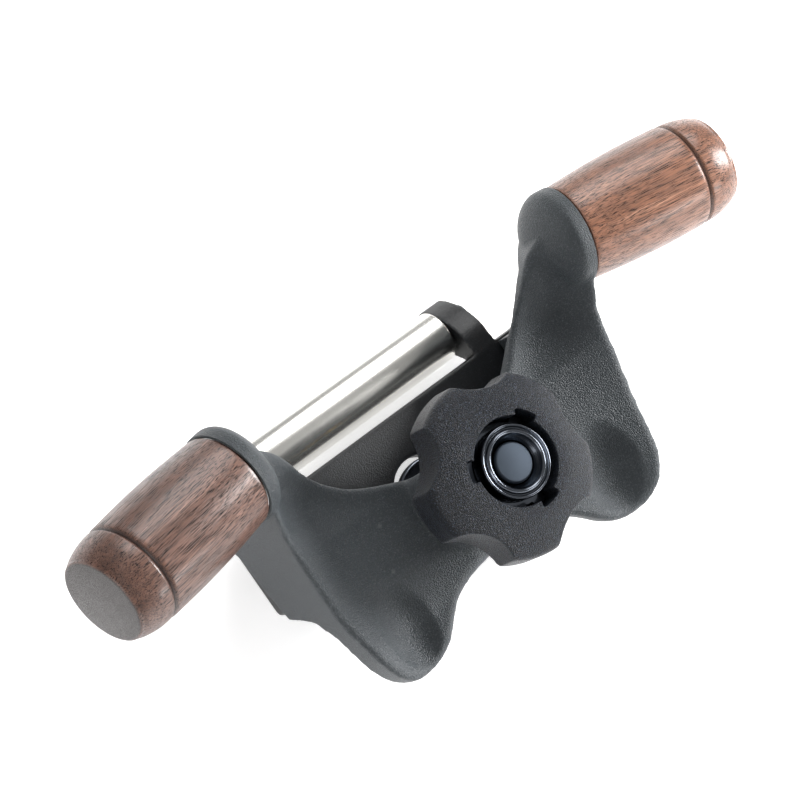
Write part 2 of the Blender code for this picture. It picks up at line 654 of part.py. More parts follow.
def make_clamp(stance):
    """The screw turns in a bush in the yoke and pushes the pad, which slides but does not turn."""
    axis = bpy.data.objects.new("clamp_axis", None)
    bpy.context.collection.objects.link(axis)
    axis.parent = stance
    axis.location = (0.0, CLAMP_AXIS, 0.0)
    make_knob(axis)
    make_knob_insert(axis)
    make_clamp_screw(axis)
    bush = [(SCREW_RADIUS + GAP, PLATE_BACK + GAP), (BOSS_BUSH_RADIUS, PLATE_BACK + GAP),
            (BOSS_BUSH_RADIUS, BOSS_TOP - GAP), (SCREW_RADIUS + GAP, BOSS_TOP - GAP)]
    mesh_object("threaded_bush", turned(bush), "brass", axis)
    bore = JOURNAL_RADIUS + GAP
    pad = [(bore, PAD_POCKET), (PAD_POCKET_RADIUS, PAD_POCKET), (PAD_POCKET_RADIUS, PAD_BACK),
           (PAD_RADIUS - 0.5 * MM, PAD_BACK), (PAD_RADIUS, PAD_BACK + 0.5 * MM),
           (PAD_RADIUS, PAD_FRONT - 0.4 * MM), (PAD_RADIUS - 0.4 * MM, PAD_FRONT),
           (PAD_COLLAR_RADIUS, PAD_FRONT), (PAD_COLLAR_RADIUS, PAD_COLLAR), (bore, PAD_COLLAR)]
    mesh_object("pressure_pad", turned(pad), "dark_steel", axis)
    clip_front = PAD_POCKET - GAP
    clip = ring_piece(CLIP_GROOVE_RADIUS + GAP, PAD_CLIP_RADIUS, clip_front - PAD_CLIP_THICKNESS, clip_front)
    mesh_object("pad_clip", clip, "steel", axis)


# ---------------------------------------------------------------- stance

def stand(stance):
    """Tilt the guide onto its roller and the foot of its bed, then centre it over the origin."""
    run = ROLLER_PLACE.y - BED_FOOT
    fall = ROLLER_PLACE.z - BED_BACK
    tilt = math.atan2(-fall, run) + math.asin(ROLLER_RADIUS / math.hypot(run, fall))
    stance.rotation_euler = (tilt, 0.0, 0.0)
    stance.location = (0.0, 0.0, 0.0)
    bpy.context.view_layer.update()
    depsgraph = bpy.context.evaluated_depsgraph_get()
    corners = []
    for obj in bpy.data.objects:
        if obj.type == "MESH" and not obj.hide_render:
            shown = obj.evaluated_get(depsgraph)
            corners += [shown.matrix_world @ vert.co for vert in shown.data.vertices]
    low = Vector([min(c[i] for c in corners) for i in range(3)])
    high = Vector([max(c[i] for c in corners) for i in range(3)])
    stance.location = (-(low.x + high.x) / 2, -(low.y + high.y) / 2, -low.z)
    bpy.context.view_layer.update()


def main():
    clear_scene()
    stance = bpy.data.objects.new("stance", None)
    bpy.context.collection.objects.link(stance)
    make_yoke(stance)
    make_bed(stance)
    make_bed_screws(stance)
    make_roller(stance)
    make_grip(stance, -1, "left")
    make_grip(stance, 1, "right")
    make_clamp(stance)
    stand(stance)


main()
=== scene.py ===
import json
import math

import bpy
import numpy as np
from mathutils import Matrix, Vector


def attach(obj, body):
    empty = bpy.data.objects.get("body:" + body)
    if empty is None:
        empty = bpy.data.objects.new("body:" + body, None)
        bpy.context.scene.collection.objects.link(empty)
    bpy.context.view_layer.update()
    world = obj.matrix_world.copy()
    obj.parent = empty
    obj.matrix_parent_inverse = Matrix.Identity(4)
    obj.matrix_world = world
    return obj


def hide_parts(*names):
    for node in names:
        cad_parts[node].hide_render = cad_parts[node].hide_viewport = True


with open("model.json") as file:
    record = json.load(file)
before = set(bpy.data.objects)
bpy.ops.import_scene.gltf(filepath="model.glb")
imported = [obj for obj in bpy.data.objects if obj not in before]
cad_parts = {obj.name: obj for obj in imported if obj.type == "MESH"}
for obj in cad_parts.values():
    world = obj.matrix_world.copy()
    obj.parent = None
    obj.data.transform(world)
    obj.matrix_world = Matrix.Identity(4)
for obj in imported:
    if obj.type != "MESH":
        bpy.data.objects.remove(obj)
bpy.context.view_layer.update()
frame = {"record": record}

MM = 0.001

# ------------------------------------------------------------------ stance
# The guide is drawn upright: X along the roller, Y up the yoke to the roller, Z out along the
# clamp screw. It leans back on its roller, and the knob's joint says by how much and where.
KNOB_AXIS_Y = -28.4 * MM

knob_joint = next(j for j in frame["record"]["behaviour"]["joints"] if j["name"] == "knob_turn")
lean_axis = Vector(knob_joint["axis"])
lean = math.atan2(-lean_axis.y, lean_axis.z)
stance_turn = Matrix.Rotation(lean, 4, "X")
knob_spot = stance_turn @ Vector((0, KNOB_AXIS_Y, 0))
stance = Matrix.Translation(Vector(knob_joint["pos_m"]) - knob_spot) @ stance_turn


# ------------------------------------------------------------------ camera
# The guide is seen from the left and above, knob side towards the viewer, from a long way off.
VIEW_RIGHT = Vector((0.7157, -0.5641, 0.4098))
VIEW_UP = Vector((0.5238, 0.8213, 0.2202))
VIEW_BACK = Vector((-0.4628, 0.0571, 0.8827))
VIEW_FROM = Vector((-413.1, 49.5, 774.5)) * MM

camera_data = bpy.data.cameras.new("camera")
camera_data.sensor_width = 36.0
camera_data.lens = 160.6
camera_data.clip_end = 20.0
camera = bpy.data.objects.new("camera", camera_data)
bpy.context.collection.objects.link(camera)
view = Matrix.Identity(4)
for column, axis in enumerate((VIEW_RIGHT, VIEW_UP, VIEW_BACK, VIEW_FROM)):
    for row in range(3):
        view[row][column] = axis[row]
camera.matrix_world = stance @ view
bpy.context.scene.camera = camera


# ------------------------------------------------------------------ floor and lights
# A wide white floor that glows a little, and four soft white lights: one above and behind, a
# strong one on the right, and two weak ones in front and on the left.
def pick(piece):
    """Leave only this piece selected and active."""
    bpy.ops.object.select_all(action="DESELECT")
    piece.select_set(True)
    bpy.context.view_layer.objects.active = piece


def new_finish(name, colour, roughness, metallic=0.0):
    """A material with its shader's own colours set, returned with its node tree and shader."""
    finish = bpy.data.materials.new(name)
    finish.use_nodes = True
    tree = finish.node_tree
    shader = tree.nodes["Principled BSDF"]
    shader.inputs["Base Color"].default_value = (*colour, 1.0)
    shader.inputs["Roughness"].default_value = roughness
    shader.inputs["Metallic"].default_value = metallic
    return finish, tree, shader


bpy.ops.object.select_all(action="DESELECT")
bpy.ops.mesh.primitive_plane_add(size=6.0, location=(0.0, 0.0, -0.0002))
floor = bpy.context.object
floor.name = "floor"
floor_finish, _, floor_shader = new_finish("floor_white", (0.92, 0.92, 0.92), 0.9)
floor_shader.inputs["Emission Color"].default_value = (1.0, 1.0, 1.0, 1.0)
floor_shader.inputs["Emission Strength"].default_value = 0.60
floor.data.materials.append(floor_finish)

world = bpy.data.worlds.new("studio")
world.use_nodes = True
world.node_tree.nodes["Background"].inputs["Color"].default_value = (1.0, 1.0, 1.0, 1.0)
world.node_tree.nodes["Background"].inputs["Strength"].default_value = 0.36
bpy.context.scene.world = world
bpy.context.scene.view_settings.view_transform = "Standard"


def softbox(name, place, aim, width, height, power):
    """A rectangular light at a place in the row frame, turned to face a point."""
    data = bpy.data.lights.new(name, "AREA")
    data.shape = "RECTANGLE"
    data.size = width
    data.size_y = height
    data.energy = power
    lamp = bpy.data.objects.new(name, data)
    bpy.context.collection.objects.link(lamp)
    lamp.location = place
    lamp.rotation_euler = (Vector(aim) - Vector(place)).to_track_quat("-Z", "Y").to_euler()


middle = (0.0, 0.0, 0.03)
softbox("light_over", (0.42, 0.52, 0.66), middle, 0.50, 0.60, 4.5)
softbox("light_right", (0.84, -0.30, 0.46), middle, 0.34, 0.46, 15.0)
softbox("light_front", (0.42, -0.86, 0.22), middle, 0.30, 0.20, 2.0)
softbox("light_left", (-0.80, -0.10, 0.35), middle, 0.40, 0.50, 1.8)


# ------------------------------------------------------------------ yoke
# One glass-filled nylon moulding with a fine spark texture. Two hubs hold the grips, two wings
# run down to thumb lobes with a scoop in each, and side walls behind stand on the bed.
SADDLE = [(0, -19.6), (10, -19.1), (14.8, -17.6), (23.8, -13.8), (29.4, -10.2), (35.0, -4.2),
          (39.3, 1.6), (42.5, 6.0), (45.8, 9.2), (49.2, 11.6), (52.4, 13.4), (55.0, 14.6)]
OUTER_EDGE = [(55.1, -5.3), (54.2, -13.0), (53.5, -23.0), (52.0, -37.0), (50.5, -45.0),
              (49.0, -51.0), (46.0, -56.5), (41.5, -59.6), (36.5, -60.3), (31.5, -59.2),
              (27.0, -56.6), (23.0, -52.9), (19.5, -50.2), (14.0, -47.9), (7.0, -46.5), (0, -46.2)]
INNER_EDGE_X = [(22, 46), (9, 44.5), (5.5, 42.9), (1, 39.5), (-4.5, 35), (-10.2, 29.4),
                (-13.8, 23.8), (-17.6, 14.8), (-19, 10), (-46, 10), (-52, 22), (-61, 30)]
OUTER_EDGE_X = [(22, 58), (-5, 55.4), (-13, 54.2), (-23, 53.5), (-37, 52), (-45, 50.5),
                (-51, 49), (-56, 46.5), (-61, 42)]
INNER_EDGE_Z = [(22, 0), (14, -2.7), (9, -5), (5, -6.4), (-4, -10), (-61, -10.5)]
OUTER_EDGE_Z = [(22, 2), (8, 7), (-6, 3.9), (-13, 0), (-23, -2.6), (-37, -5.8), (-49, -5.5),
                (-55, -6.5), (-61, -9)]
PLATE_BACK = -15.5
VALLEY_DEPTH = 2.2
SCOOP_CENTRE = (36.2, -46.3)
SCOOP_LENGTH = 13.2
SCOOP_WIDTH = 8.4
SCOOP_TURN = math.radians(6)
SCOOP_DEPTH = 3.4
BOSS_RADIUS = 11.5
BOSS_SLOPE = 4.5
BOSS_TOP = 2.4
WING_BACK = (-10.0, 5.0, 9.0)
WING_BACK_SHARE = 0.35
WING_THINNEST = 1.0
INNER_ROUND = 8.0
CHEEK = [(4, -8), (-2, -18), (-4.8, -29.7), (-30.7, -29.7), (-32.4, -22.8), (-34.5, -18.5),
         (-40, -15.2), (-43, -12.5), (-20, -12)]
CHEEK_SPAN = (48.0, 58.0)
POST_SPAN = (41.0, 49.0)
POST_PLACES = (-9.5, -24.5)
POST_HALF = 4.0
POST_X = 44.5
POST_HOLE_RADIUS = 2.2
GRIP_START = Vector((58.6, 8.0, 0.0))
GRIP_DROOP = math.radians(7.1)
GRIP_LEAN = math.radians(5.4)
HUB_RADIUS = 13.3
HUB_FACE = -0.5
HUB_STRAIGHT = 3.0
HUB_LENGTH = 11.2
HUB_SLANT = 0.022
HUB_SLANT_FROM = -6.0
FLARE_LENGTH = 13.0
FLARE_DROP = 13.0
FLARE_INSET = 0.7
FLARE_FILLET = 10.0
SHOULDER_SHARE = 0.75
HUB_ROOT = (57.0, 8.0)
HUB_ROOT_RADIUS = 6.5
HUB_ROOT_FADE = 6.0
WASHER_POCKET_RADIUS, WASHER_POCKET_FLOOR = 12.6, -1.6
STUD_RADIUS, STUD_SOCKET_END = 3.3, -6.0
BUSH_BORE_RADIUS = 6.8
EDGE_ROUND = 2.2
BACK_ROUND = 1.2
SHEET_WIDTH, SHEET_HEIGHT, SHEET_MIDDLE_Y = 127.0, 90.0, -18.0
YOKE_STEP = 0.7
YOKE_VOXEL = 0.5


def along(points, value):
    """A height read off (place, height) points, place falling, eased through each point."""
    if value >= points[0][0]:
        return points[0][1]
    for k in range(len(points) - 1):
        (a, fa), (b, fb) = points[k], points[k + 1]
        if value >= b:
            before = points[k - 1] if k else points[k]
            after = points[k + 2] if k + 2 < len(points) else points[k + 1]
            slope_a = (fb - before[1]) / (b - before[0]) * (b - a)
            slope_b = (after[1] - fa) / (after[0] - a) * (b - a)
            t = (value - a) / (b - a)
            return ((2 * t ** 3 - 3 * t ** 2 + 1) * fa + (t ** 3 - 2 * t ** 2 + t) * slope_a
                    + (3 * t ** 2 - 2 * t ** 3) * fb + (t ** 3 - t ** 2) * slope_b)
    return points[-1][1]


def eased(t):
    """A share from 0 to 1 that starts and ends gently."""
    t = min(max(t, 0.0), 1.0)
    return t * t * (3 - 2 * t)


def smooth_through(points, steps):
    """A Catmull-Rom curve through flat points."""
    curve = []
    last = len(points) - 1
    for i in range(last):
        p0, p1, p2, p3 = points[max(i - 1, 0)], points[i], points[i + 1], points[min(i + 2, last)]
        for k in range(steps):
            t = k / steps
            curve.append(tuple(
                0.5 * (2 * b + (c - a) * t + (2 * a - 5 * b + 4 * c - d) * t * t
                       + (3 * b - a - 3 * c + d) * t ** 3)
                for a, b, c, d in zip(p0, p1, p2, p3)))
    curve.append(points[last])
    return curve


def yoke_front(x, y):
    """Height of the yoke's front in mm: rims, the soft valley between them, scoop and boss."""
    x = abs(x)
    inner_x, outer_x = along(INNER_EDGE_X, y), along(OUTER_EDGE_X, y)
    across = min(max((x - inner_x) / (outer_x - inner_x), 0.0), 1.0)
    inner_z, outer_z = along(INNER_EDGE_Z, y), along(OUTER_EDGE_Z, y)
    valley = VALLEY_DEPTH * math.sin(math.pi * across)
    height = inner_z + (outer_z - inner_z) * across * across - valley
    dx, dy = x - SCOOP_CENTRE[0], y - SCOOP_CENTRE[1]
    long_way = dx * math.sin(SCOOP_TURN) + dy * math.cos(SCOOP_TURN)
    side_way = dx * math.cos(SCOOP_TURN) - dy * math.sin(SCOOP_TURN)
    off = math.hypot(long_way / SCOOP_LENGTH, side_way / SCOOP_WIDTH)
    if off < 1.0:
        fade = 1.0 + 0.8 * min(max(long_way / SCOOP_LENGTH, 0.0), 1.0)
        height -= SCOOP_DEPTH * (1.0 - off ** 2) ** fade
    off_boss = math.hypot(x, y - KNOB_AXIS_Y / MM)
    height += (BOSS_TOP - height) * (1.0 - eased((off_boss - BOSS_RADIUS) / BOSS_SLOPE))
    return height


def yoke_back(x, y):
    """Height of the yoke's back: flat low down, rising behind the wing towards its outer edge."""
    x = abs(x)
    start, stop, rise = WING_BACK
    wing = eased((y - start) / (stop - start))
    inset = min(max(1.0 - (x - along(INNER_EDGE_X, y)) / INNER_ROUND, 0.0), 1.0)
    share = WING_BACK_SHARE + (1.0 - WING_BACK_SHARE) * inset
    return min(PLATE_BACK + rise * wing * share, yoke_front(x, y) - WING_THINNEST)


def hub_front(x, y):
    """Height of the hub's front over a point, flaring down into the wing away from the grip."""
    back = GRIP_START.x - abs(x)
    axis_y = GRIP_START.y + back * math.tan(GRIP_DROOP)
    axis_z = -back * math.tan(GRIP_LEAN)
    drop = FLARE_DROP * eased((back - HUB_STRAIGHT) / (FLARE_LENGTH - HUB_STRAIGHT))
    radius, shoulder = HUB_RADIUS - FLARE_INSET, SHOULDER_SHARE * HUB_RADIUS
    off = abs(y - axis_y) * math.cos(GRIP_DROOP)
    arch = math.sqrt(radius ** 2 - min(off, shoulder) ** 2)
    return axis_z + arch - max(off - shoulder, 0.0) * shoulder / arch - drop


def blended_front(x, y):
    """The wing's front flowing up into the hub over a wide fillet."""
    wing, hub = yoke_front(x, y), hub_front(x, y)
    overlap = max(FLARE_FILLET - abs(wing - hub), 0.0) / FLARE_FILLET
    return max(wing, hub) + overlap * overlap * FLARE_FILLET / 4


def inset_from(outline, xs, ys):
    """How far inside a closed outline each point lies, in mm, measured to its nearest edge."""
    corners = np.array(outline)
    starts, runs = corners, np.roll(corners, -1, axis=0) - corners
    places = np.stack([xs, ys], axis=1)[:, None, :] - starts[None, :, :]
    along_edge = np.clip((places * runs).sum(axis=2) / (runs ** 2).sum(axis=1), 0.0, 1.0)
    return np.linalg.norm(places - along_edge[:, :, None] * runs, axis=2).min(axis=1)


def edge_drop(inset, radius):
    """How far a rounded edge of this radius has fallen away at a distance in from the edge."""
    return radius - math.sqrt(max(radius ** 2 - max(radius - inset, 0.0) ** 2, 0.0))


def upright(piece, local=Matrix.Identity(4)):
    """Place a piece drawn in the guide's upright frame, with its place kept in its mesh."""
    piece.data.transform(stance @ local @ piece.matrix_world)
    piece.matrix_world = Matrix.Identity(4)


def apply_modifier(piece, kind, **settings):
    """Add a modifier with these settings and apply it."""
    pick(piece)
    modifier = piece.modifiers.new(kind.lower(), kind)
    for key, value in settings.items():
        setattr(modifier, key, value)
    bpy.ops.object.modifier_apply(modifier=modifier.name)


def combine(piece, tool, operation):
    """Join, trim or cut a piece with a tool, which is used up."""
    apply_modifier(piece, "BOOLEAN", object=tool, operation=operation)
    bpy.data.objects.remove(tool, do_unlink=True)


def from_outline(name, outline, low, high, along_x=False):
    """A solid with a flat outline: (X, Y) points raised along Z, or (Y, Z) points along X, in mm."""
    mesh = bpy.data.meshes.new(name)
    if along_x:
        corners = [(low * MM, a * MM, b * MM) for a, b in outline]
        push = ((high - low) * MM, 0, 0)
    else:
        corners = [(a * MM, b * MM, low * MM) for a, b in outline]
        push = (0, 0, (high - low) * MM)
    mesh.from_pydata(corners, [], [range(len(corners))])
    piece = bpy.data.objects.new(name, mesh)
    bpy.context.collection.objects.link(piece)
    pick(piece)
    bpy.ops.object.mode_set(mode="EDIT")
    bpy.ops.mesh.select_all(action="SELECT")
    bpy.ops.mesh.extrude_region_move(TRANSFORM_OT_translate={"value": push})
    bpy.ops.mesh.select_all(action="SELECT")
    bpy.ops.mesh.normals_make_consistent(inside=False)
    bpy.ops.object.mode_set(mode="OBJECT")
    return piece


def turned(name, profile, steps=96):
    """A lathe-turned solid from (radius, height) points in mm, spun about Z."""
    mesh = bpy.data.meshes.new(name)
    points = [(r * MM, 0.0, z * MM) for r, z in profile]
    edges = [(i, i + 1) for i in range(len(points) - 1)]
    if profile[0][0] > 0:
        edges.append((len(points) - 1, 0))
    mesh.from_pydata(points, edges, [])
    piece = bpy.data.objects.new(name, mesh)
    bpy.context.collection.objects.link(piece)
    pick(piece)
    bpy.ops.object.mode_set(mode="EDIT")
    bpy.ops.mesh.select_all(action="SELECT")
    bpy.ops.mesh.spin(steps=steps, angle=2 * math.pi, center=(0, 0, 0), axis=(0, 0, 1))
    bpy.ops.mesh.select_all(action="SELECT")
    bpy.ops.mesh.remove_doubles(threshold=1e-6)
    bpy.ops.mesh.normals_make_consistent(inside=False)
    bpy.ops.object.mode_set(mode="OBJECT")
    bpy.ops.object.shade_smooth_by_angle(angle=math.radians(32))
    return piece


def rounded(points, radius, steps=4):
    """The profile with each inner corner rounded by up to a radius."""
    out = [points[0]]
    for a, b, c in zip(points, points[1:], points[2:]):
        va, vc = Vector(a) - Vector(b), Vector(c) - Vector(b)
        reach = min(radius, va.length * 0.45, vc.length * 0.45)
        corner = Vector(b)
        start = corner + va.normalized() * reach
        stop = corner + vc.normalized() * reach
        for k in range(steps + 1):
            t = k / steps
            p = start * (1 - t) ** 2 + corner * 2 * t * (1 - t) + stop * t * t
            out.append((p.x, p.y))
    out.append(points[-1])
    return out


def soften(piece, voxel, passes):
    """Melt the joined blocks into one skin and round its edges, as a moulding's are."""
    apply_modifier(piece, "REMESH", mode="VOXEL", voxel_size=voxel * MM)
    apply_modifier(piece, "SMOOTH", factor=0.5, iterations=passes)


def grip_matrix(side):
    """Z along a grip, starting where its wood does, for side -1 (left) or 1 (right)."""
    flat = math.cos(GRIP_LEAN)
    direction = Vector((side * math.cos(GRIP_DROOP) * flat, -math.sin(GRIP_DROOP) * flat,
                        math.sin(GRIP_LEAN)))
    start = Vector((side * GRIP_START.x, GRIP_START.y, GRIP_START.z)) * MM
    return Matrix.Translation(start) @ direction.to_track_quat("Z", "Y").to_matrix().to_4x4()


def block(name, low, high):
    """A rectangular block between two corners in mm."""
    bpy.ops.object.select_all(action="DESELECT")
    bpy.ops.mesh.primitive_cube_add(size=1.0)
    piece = bpy.context.object
    piece.name = name
    size = Vector(high) - Vector(low)
    centre = (Vector(high) + Vector(low)) / 2
    piece.data.transform(Matrix.Translation(centre * MM) @ Matrix.Diagonal((*(size * MM), 1.0)))
    return piece


def rod(name, radius, low, high, steps=64):
    """A plain round tool or blank along Z between two heights in mm."""
    return turned(name, [(0, low), (radius, low), (radius, high), (0, high)], steps)


def laid_along_x(piece, place):
    """Turn a piece spun about Z so that it lies along X at a place in mm."""
    spot = Matrix.Translation(Vector(place) * MM)
    piece.data.transform(spot @ Matrix.Rotation(math.pi / 2, 4, "Y"))


def moved(piece, x, y):
    """Move a piece or a tool across to a place in X and Y, in mm."""
    piece.data.transform(Matrix.Translation(Vector((x, y, 0)) * MM))


# The wings are a sheet raised to its front and back heights, trimmed to the yoke's outline.
columns, rows = round(SHEET_WIDTH / YOKE_STEP), round(SHEET_HEIGHT / YOKE_STEP)
bpy.ops.object.select_all(action="DESELECT")
bpy.ops.mesh.primitive_grid_add(x_subdivisions=columns, y_subdivisions=rows, size=1.0)
yoke = bpy.context.object
yoke.name = "yoke_moulding"
sheet_size = Matrix.Diagonal((SHEET_WIDTH, SHEET_HEIGHT, 1.0, 1.0))
yoke.data.transform(Matrix.Translation((0, SHEET_MIDDLE_Y, 0)) @ sheet_size)
bpy.ops.object.mode_set(mode="EDIT")
bpy.ops.mesh.select_all(action="SELECT")
bpy.ops.mesh.extrude_region_move(TRANSFORM_OT_translate={"value": (0, 0, 1.0)})
bpy.ops.object.mode_set(mode="OBJECT")
hub_corner = [(56.5, 8.0), (55.4, -4.6)]
right_half = smooth_through(SADDLE, 5) + hub_corner + smooth_through(OUTER_EDGE, 5)
left_half = [(-x, y) for x, y in reversed(right_half[1:-1])]
yoke_edge = right_half + left_half
flat = np.array([vert.co[:2] for vert in yoke.data.vertices])
insets = inset_from(yoke_edge, flat[:, 0], flat[:, 1])
for vert, inset in zip(yoke.data.vertices, insets):
    x, y, raised = vert.co
    off_hub = math.hypot(abs(x) - HUB_ROOT[0], y - HUB_ROOT[1])
    clear_of_hub = eased((off_hub - HUB_ROOT_RADIUS) / HUB_ROOT_FADE)
    front, back = blended_front(x, y), yoke_back(x, y)
    if raised > 0.5:
        vert.co.z = front - edge_drop(inset, min(EDGE_ROUND, 0.6 * (front - back)) * clear_of_hub)
    else:
        vert.co.z = back + edge_drop(inset, min(BACK_ROUND, 0.2 * (front - back)) * clear_of_hub)
yoke.data.transform(Matrix.Diagonal((MM, MM, MM, 1.0)))
bpy.ops.object.mode_set(mode="EDIT")
bpy.ops.mesh.select_all(action="SELECT")
bpy.ops.mesh.quads_convert_to_tris()
bpy.ops.mesh.normals_make_consistent(inside=False)
bpy.ops.object.mode_set(mode="OBJECT")

for side in (-1, 1):
    low, high = sorted(side * edge for edge in CHEEK_SPAN)
    combine(yoke, from_outline("cheek", CHEEK, low, high, along_x=True), "UNION")
    for place in POST_PLACES:
        low, high = sorted(side * edge for edge in POST_SPAN)
        post = block("post", (low, place - POST_HALF, -29.7), (high, place + POST_HALF, -14.5))
        combine(yoke, post, "UNION")
combine(yoke, from_outline("yoke_outline", yoke_edge, -60.0, 40.0), "INTERSECT")
hub_steps = 14
hub_profile = [(0.0, HUB_FACE + 2.0), (HUB_RADIUS, HUB_FACE + 2.0)]
for i in range(hub_steps + 1):
    turn = 0.5 * math.pi * i / hub_steps
    radius = HUB_RADIUS * math.cos(turn) if i < hub_steps else 0.0
    hub_profile.append((radius, -HUB_STRAIGHT - (HUB_LENGTH - HUB_STRAIGHT) * math.sin(turn)))
for side in (-1, 1):
    hub = turned("hub", hub_profile, 72)
    for vert in hub.data.vertices:
        beyond = vert.co.z + HUB_STRAIGHT * MM
        if beyond < 0.0:
            vert.co.z += -beyond * HUB_SLANT * (vert.co.y / MM - HUB_SLANT_FROM)
    hub.data.transform(grip_matrix(side))
    combine(yoke, hub, "UNION")
soften(yoke, YOKE_VOXEL, 4)
for side in (-1, 1):
    face = turned("hub_face", [(0, HUB_FACE), (20.0, HUB_FACE), (20.0, 12.0), (0, 12.0)], 64)
    face.data.transform(grip_matrix(side))
    combine(yoke, face, "DIFFERENCE")
    pocket = rod("washer_pocket", WASHER_POCKET_RADIUS, WASHER_POCKET_FLOOR, 5.0, 96)
    pocket.data.transform(grip_matrix(side))
    combine(yoke, pocket, "DIFFERENCE")
    socket = rod("stud_socket", STUD_RADIUS, STUD_SOCKET_END, 0.0, 32)
    socket.data.transform(grip_matrix(side))
    combine(yoke, socket, "DIFFERENCE")
    for place in POST_PLACES:
        hole = rod("post_hole", POST_HOLE_RADIUS, -31.0, -21.0, 32)
        moved(hole, side * POST_X, place)
        combine(yoke, hole, "DIFFERENCE")
bore = rod("bush_bore", BUSH_BORE_RADIUS, -30.0, 20.0, 72)
bore.data.transform(Matrix.Translation((0, KNOB_AXIS_Y, 0)))
combine(yoke, bore, "DIFFERENCE")
pick(yoke)
bpy.ops.object.shade_smooth_by_angle(angle=math.radians(40))
upright(yoke)


def new_group(name, inputs, outputs):
    """A shader node group with named value, colour and vector sockets."""
    kinds = {"value": "NodeSocketFloat", "colour": "NodeSocketColor", "vector": "NodeSocketVector"}
    group = bpy.data.node_groups.new(name, "ShaderNodeTree")
    for socket, kind, default in inputs:
        made = group.interface.new_socket(name=socket, in_out="INPUT", socket_type=kinds[kind])
        made.default_value = default
    for socket, kind in outputs:
        group.interface.new_socket(name=socket, in_out="OUTPUT", socket_type=kinds[kind])
    return group, group.nodes.new("NodeGroupInput"), group.nodes.new("NodeGroupOutput")


def node(tree, kind, links=(), **settings):
    """Add a node, set it up, and link (its socket, other node, other socket) to it."""
    made = tree.nodes.new("ShaderNode" + kind)
    for key, value in settings.items():
        if key.startswith("in_"):
            made.inputs[key[3:].replace("_", " ")].default_value = value
        else:
            setattr(made, key, value)
    for socket, other, output in links:
        tree.links.new(other.outputs[output], made.inputs[socket])
    return made


def ramp(tree, source, output, stops):
    """A colour ramp fed by a value, with (place, grey or colour) stops."""
    made = node(tree, "ValToRGB", [("Fac", source, output)])
    elements = made.color_ramp.elements
    while len(elements) < len(stops):
        elements.new(0.5)
    for element, (place, shade) in zip(elements, stops):
        element.position = place
        element.color = (*shade, 1.0) if isinstance(shade, tuple) else (shade, shade, shade, 1.0)
    return made


# Spark texture: a fine pebbled height, with a mask for the grains' raised tops, where glints are painted
# in a brighter colour.
spark, spark_in, spark_out = new_group(
    "spark_texture",
    [("Place", "vector", (0, 0, 0)), ("Grain Size", "value", 1500.0), ("Cloud Size", "value", 60.0)],
    [("Height", "value"), ("Painted Glints", "value"), ("Cloud", "value")])
grains = node(spark, "TexNoise", [("Vector", spark_in, "Place"), ("Scale", spark_in, "Grain Size")],
              in_Detail=3.0, in_Roughness=0.7)
cells = node(spark, "TexVoronoi", [("Vector", spark_in, "Place"), ("Scale", spark_in, "Grain Size")])
# The grains' raised tops get painted glints, a brighter colour standing in for light catching them.
glint_tops = ramp(spark, grains, "Fac", [(0.54, 0.0), (0.64, 1.0)])
cloud = node(spark, "TexNoise", [("Vector", spark_in, "Place"), ("Scale", spark_in, "Cloud Size")],
             in_Detail=4.0, in_Roughness=0.6)
pebble = node(spark, "Math", [(0, grains, "Fac"), (1, cells, "Distance")], operation="SUBTRACT")
spark.links.new(pebble.outputs[0], spark_out.inputs["Height"])
spark.links.new(glint_tops.outputs["Color"], spark_out.inputs["Painted Glints"])
spark.links.new(cloud.outputs["Fac"], spark_out.inputs["Cloud"])

# Painted edge highlights: convex corners painted lighter, as if they caught the light, read from how
# sharply the surface bends outwards.
edge_highlight_group, edge_highlight_in, edge_highlight_out = new_group(
    "painted_edge_highlight", [("Start", "value", 0.52), ("End", "value", 0.60)], [("Mask", "value")])
bend = node(edge_highlight_group, "NewGeometry")
# Painted edge highlight: the more sharply the surface bends outwards, the lighter it is painted.
edge_highlight_range = node(edge_highlight_group, "MapRange", [("Value", bend, "Pointiness"), ("From Min", edge_highlight_in, "Start"),
                               ("From Max", edge_highlight_in, "End")])
edge_highlight_group.links.new(edge_highlight_range.outputs["Result"], edge_highlight_out.inputs["Mask"])


def use_group(tree, group, **values):
    """Place a node group in a material with its own values."""
    made = tree.nodes.new("ShaderNodeGroup")
    made.node_tree = group
    for key, value in values.items():
        made.inputs[key.replace("_", " ")].default_value = value
    return made


def mix(tree, factor, first, second, links=()):
    """A colour mix; factor is (node, socket), first and second are colours or (node, socket)."""
    made = tree.nodes.new("ShaderNodeMix")
    made.data_type = "RGBA"
    tree.links.new(factor[0].outputs[factor[1]], made.inputs[0])
    for index, value in ((6, first), (7, second)):
        if isinstance(value[0], bpy.types.Node):
            tree.links.new(value[0].outputs[value[1]], made.inputs[index])
        else:
            made.inputs[index].default_value = (*value, 1.0)
    return made


GRAIN_HEIGHT = 0.0003


